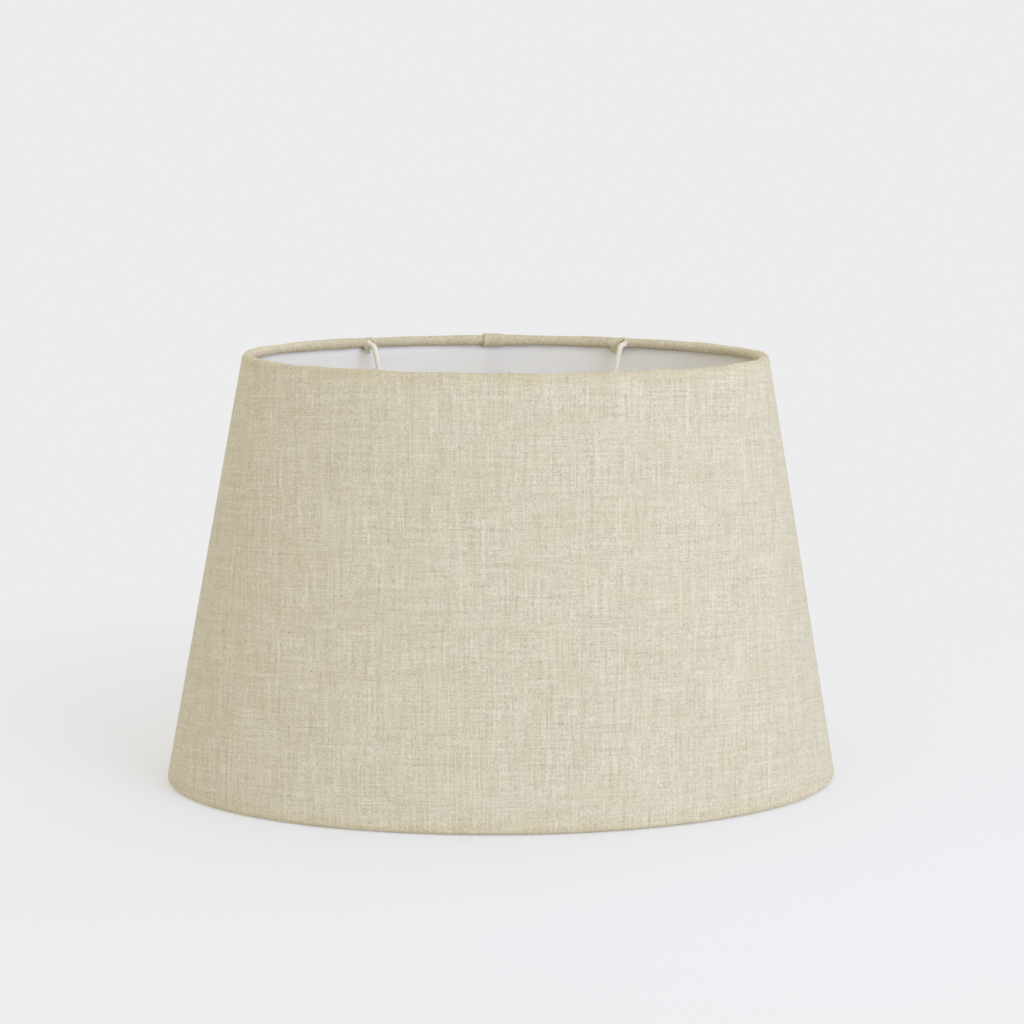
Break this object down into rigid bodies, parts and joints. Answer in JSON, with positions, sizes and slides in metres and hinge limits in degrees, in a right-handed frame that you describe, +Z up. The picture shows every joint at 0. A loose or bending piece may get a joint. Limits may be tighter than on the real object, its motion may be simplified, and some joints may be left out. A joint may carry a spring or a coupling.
{
  "type": "lamp shade",
  "caption": "Oval tapered hardback lamp shade: natural linen rolled over wire rings, a white stiff lining, and a dropped four-arm wire fitter with a ring for a lampholder.",
  "frame": {"origin": "centre of the shade in plan, on the plane that its bottom rim stands on", "axes": "+X along the oval's length, +Y to the back, where the seam is, +Z up"},
  "size_m": [0.3998, 0.2426, 0.255],
  "materials": {
    "linen": "plain-weave natural linen, laminated to the lining",
    "white_sheet": "satin white plastic sheet",
    "tape": "double-sided tape",
    "wire_steel": "drawn steel wire",
    "cream_paint": "cream powder coat, satin"
  },
  "bodies": {
    "root": {"linen_cover": "linen", "lining_panel": "white_sheet", "seam_tape": "tape", "top_ring": "wire_steel", "bottom_ring": "wire_steel", "fitter_arm_back_left": "cream_paint", "fitter_arm_back_right": "cream_paint", "fitter_arm_front_left": "cream_paint", "fitter_arm_front_right": "cream_paint", "fitter_ring": "cream_paint"}
  },
  "joints": []
}
